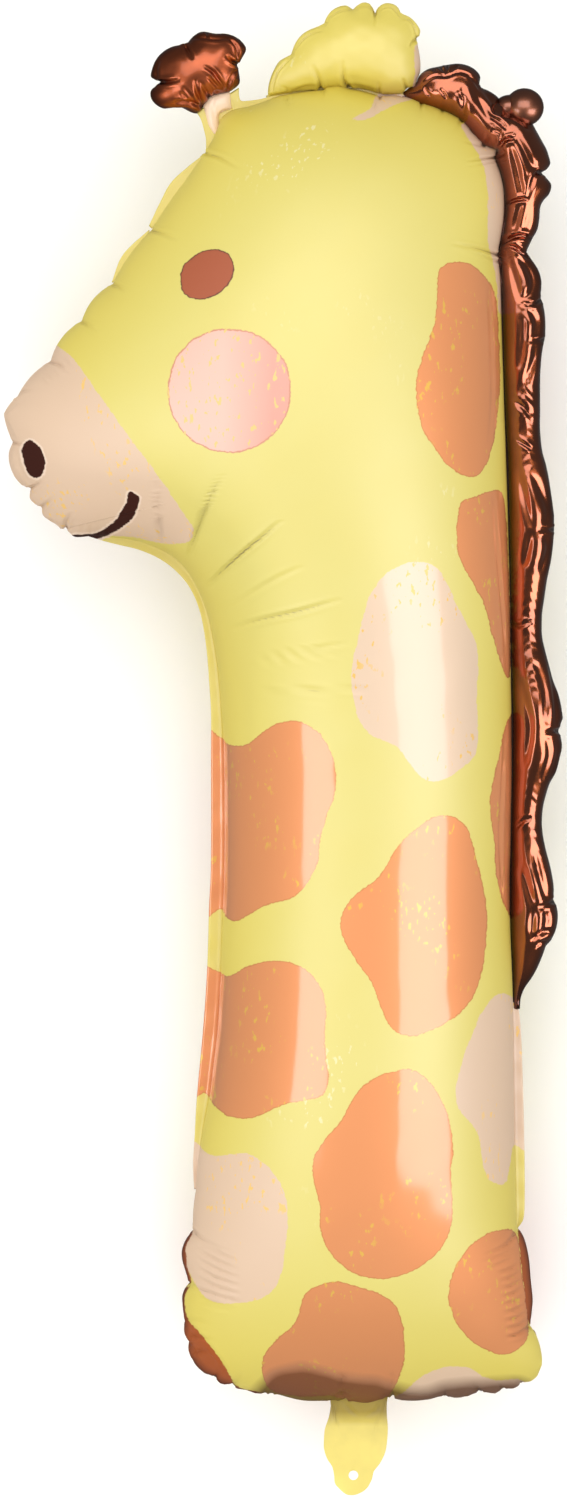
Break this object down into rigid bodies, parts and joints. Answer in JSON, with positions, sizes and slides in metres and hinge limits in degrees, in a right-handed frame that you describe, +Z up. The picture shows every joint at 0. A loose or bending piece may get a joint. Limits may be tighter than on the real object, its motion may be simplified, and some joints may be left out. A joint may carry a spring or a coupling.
{
  "type": "giraffe foil balloon",
  "caption": "Inflated foil giraffe balloon shaped like the numeral one, lying on its back, with an ear, a horn, a mane tube and a flat filling sleeve with a ribbon hole.",
  "frame": {"origin": "centre of the bounding box, on the floor", "axes": "+X from the muzzle to the mane, +Y from the filling sleeve to the ear, +Z up from the floor to the front sheet"},
  "size_m": [0.3362, 0.8992, 0.2154],
  "materials": {
    "foil": "satin metallised film, printed yellow with copper and cream patches"
  },
  "bodies": {
    "root": {"giraffe_balloon": "foil"}
  },
  "joints": []
}
